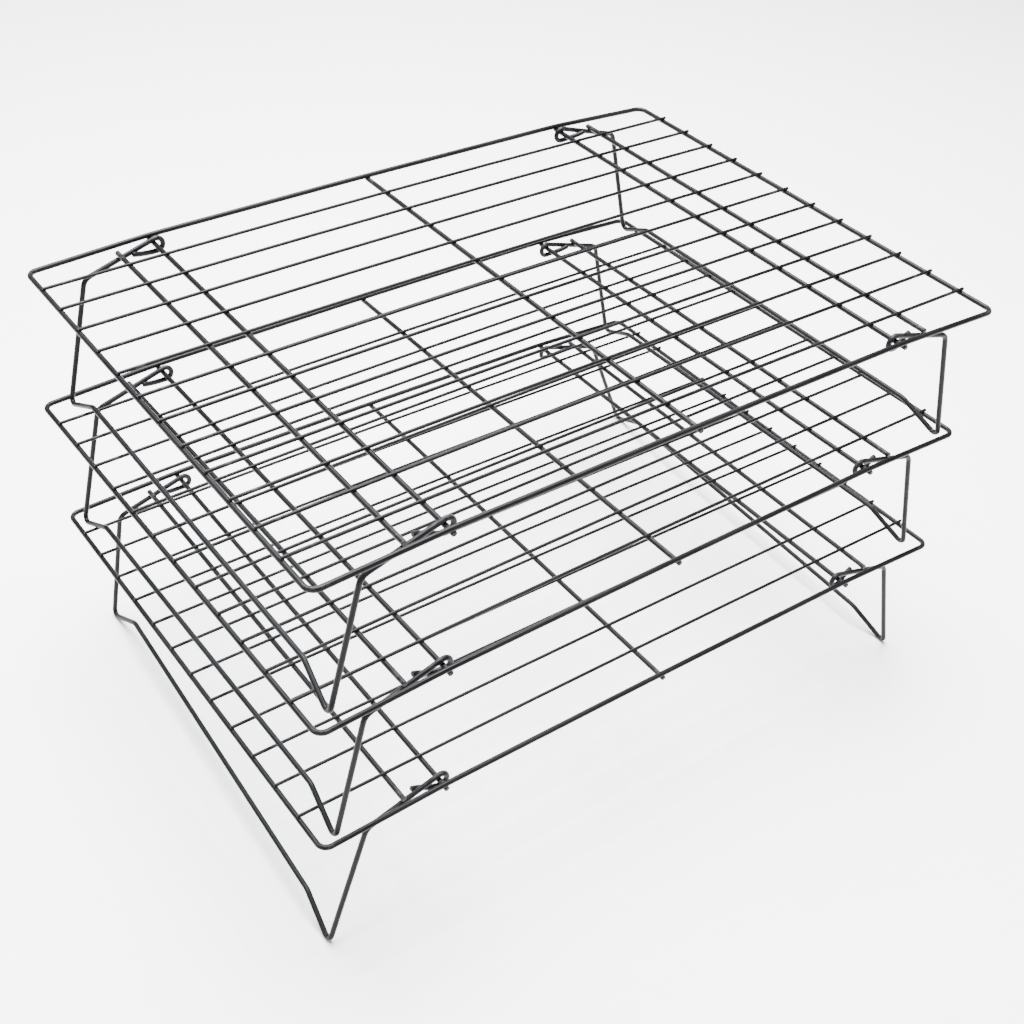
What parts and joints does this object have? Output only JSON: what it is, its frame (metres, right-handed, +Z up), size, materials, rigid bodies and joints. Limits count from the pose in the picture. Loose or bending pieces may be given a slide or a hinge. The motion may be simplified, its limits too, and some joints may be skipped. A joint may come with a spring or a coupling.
{
  "type": "three-tier folding cooling rack",
  "caption": "Stack of wire cooling decks; each deck has a rounded rectangular rim, a grid of long wires over cross wires, and fold-under wire legs that carry it on the deck below.",
  "frame": {"origin": "On the surface that the rack stands on, under the middle of its outline.", "axes": "+X along the rack's length, towards its right short side; +Y across it, towards the back; +Z up."},
  "size_m": [0.4099, 0.2926, 0.2409],
  "materials": {
    "rim_coating": "satin black non-stick coating on steel wire",
    "grid_coating": "satin black non-stick coating on thin steel wire",
    "cross_wire_coating": "satin black non-stick coating on steel wire",
    "leg_coating": "satin black non-stick coating on steel wire"
  },
  "bodies": {
    "bottom_deck": {"bottom_rim": "rim_coating", "bottom_grid_wire_01": "grid_coating", "bottom_grid_wire_02": "grid_coating", "bottom_grid_wire_03": "grid_coating", "bottom_grid_wire_04": "grid_coating", "bottom_grid_wire_05": "grid_coating", "bottom_grid_wire_06": "grid_coating", "bottom_grid_wire_07": "grid_coating", "bottom_grid_wire_08": "grid_coating", "bottom_grid_wire_09": "grid_coating", "bottom_grid_wire_10": "grid_coating", "bottom_grid_wire_11": "grid_coating", "bottom_grid_wire_12": "grid_coating", "bottom_centre_wire": "cross_wire_coating", "bottom_hinge_wire_left": "cross_wire_coating", "bottom_stop_wire_left": "cross_wire_coating", "bottom_hinge_wire_right": "cross_wire_coating", "bottom_stop_wire_right": "cross_wire_coating"},
    "bottom_leg_left": {"bottom_leg_left": "leg_coating"},
    "bottom_leg_right": {"bottom_leg_right": "leg_coating"},
    "middle_deck": {"middle_rim": "rim_coating", "middle_grid_wire_01": "grid_coating", "middle_grid_wire_02": "grid_coating", "middle_grid_wire_03": "grid_coating", "middle_grid_wire_04": "grid_coating", "middle_grid_wire_05": "grid_coating", "middle_grid_wire_06": "grid_coating", "middle_grid_wire_07": "grid_coating", "middle_grid_wire_08": "grid_coating", "middle_grid_wire_09": "grid_coating", "middle_grid_wire_10": "grid_coating", "middle_grid_wire_11": "grid_coating", "middle_grid_wire_12": "grid_coating", "middle_centre_wire": "cross_wire_coating", "middle_hinge_wire_left": "cross_wire_coating", "middle_stop_wire_left": "cross_wire_coating", "middle_hinge_wire_right": "cross_wire_coating", "middle_stop_wire_right": "cross_wire_coating"},
    "middle_leg_left": {"middle_leg_left": "leg_coating"},
    "middle_leg_right": {"middle_leg_right": "leg_coating"},
    "top_deck": {"top_rim": "rim_coating", "top_grid_wire_01": "grid_coating", "top_grid_wire_02": "grid_coating", "top_grid_wire_03": "grid_coating", "top_grid_wire_04": "grid_coating", "top_grid_wire_05": "grid_coating", "top_grid_wire_06": "grid_coating", "top_grid_wire_07": "grid_coating", "top_grid_wire_08": "grid_coating", "top_grid_wire_09": "grid_coating", "top_grid_wire_10": "grid_coating", "top_grid_wire_11": "grid_coating", "top_grid_wire_12": "grid_coating", "top_centre_wire": "cross_wire_coating", "top_hinge_wire_left": "cross_wire_coating", "top_stop_wire_left": "cross_wire_coating", "top_hinge_wire_right": "cross_wire_coating", "top_stop_wire_right": "cross_wire_coating"},
    "top_leg_left": {"top_leg_left": "leg_coating"},
    "top_leg_right": {"top_leg_right": "leg_coating"}
  },
  "joints": [
    {"name": "bottom_leg_left_fold", "type": "hinge", "parent": "bottom_deck", "child": "bottom_leg_left", "pos_m": [-0.1324, 0, 0.08004], "axis": [0, -1, 0], "range_deg": [0, 124]},
    {"name": "bottom_leg_right_fold", "type": "hinge", "parent": "bottom_deck", "child": "bottom_leg_right", "pos_m": [0.1344, 0, 0.08004], "axis": [0, 1, 0], "range_deg": [0, 127]},
    {"name": "middle_tier_lift", "type": "slide", "parent": "bottom_deck", "child": "middle_deck", "axis": [0, 0, 1], "range_m": [0, 0.28]},
    {"name": "middle_leg_left_fold", "type": "hinge", "parent": "middle_deck", "child": "middle_leg_left", "pos_m": [-0.13489, -0.00163, 0.15819], "axis": [0.0122, -0.9999, 0], "range_deg": [0, 127]},
    {"name": "middle_leg_right_fold", "type": "hinge", "parent": "middle_deck", "child": "middle_leg_right", "pos_m": [0.13189, 0.00163, 0.15819], "axis": [-0.0122, 0.9999, 0], "range_deg": [0, 127]},
    {"name": "top_tier_lift", "type": "slide", "parent": "middle_deck", "child": "top_deck", "axis": [0, 0, 1], "range_m": [0, 0.28]},
    {"name": "top_leg_left_fold", "type": "hinge", "parent": "top_deck", "child": "top_leg_left", "pos_m": [-0.1324, 0, 0.23635], "axis": [0, -1, 0], "range_deg": [0, 127]},
    {"name": "top_leg_right_fold", "type": "hinge", "parent": "top_deck", "child": "top_leg_right", "pos_m": [0.1344, 0, 0.23635], "axis": [0, 1, 0], "range_deg": [0, 127]}
  ],
  "couplings": [
    {"joint": "middle_leg_left_fold", "follows": "middle_tier_lift", "rad_per_m": 7.9},
    {"joint": "middle_leg_right_fold", "follows": "middle_tier_lift", "rad_per_m": 7.9},
    {"joint": "top_leg_left_fold", "follows": "top_tier_lift", "rad_per_m": 7.9},
    {"joint": "top_leg_right_fold", "follows": "top_tier_lift", "rad_per_m": 7.9}
  ]
}
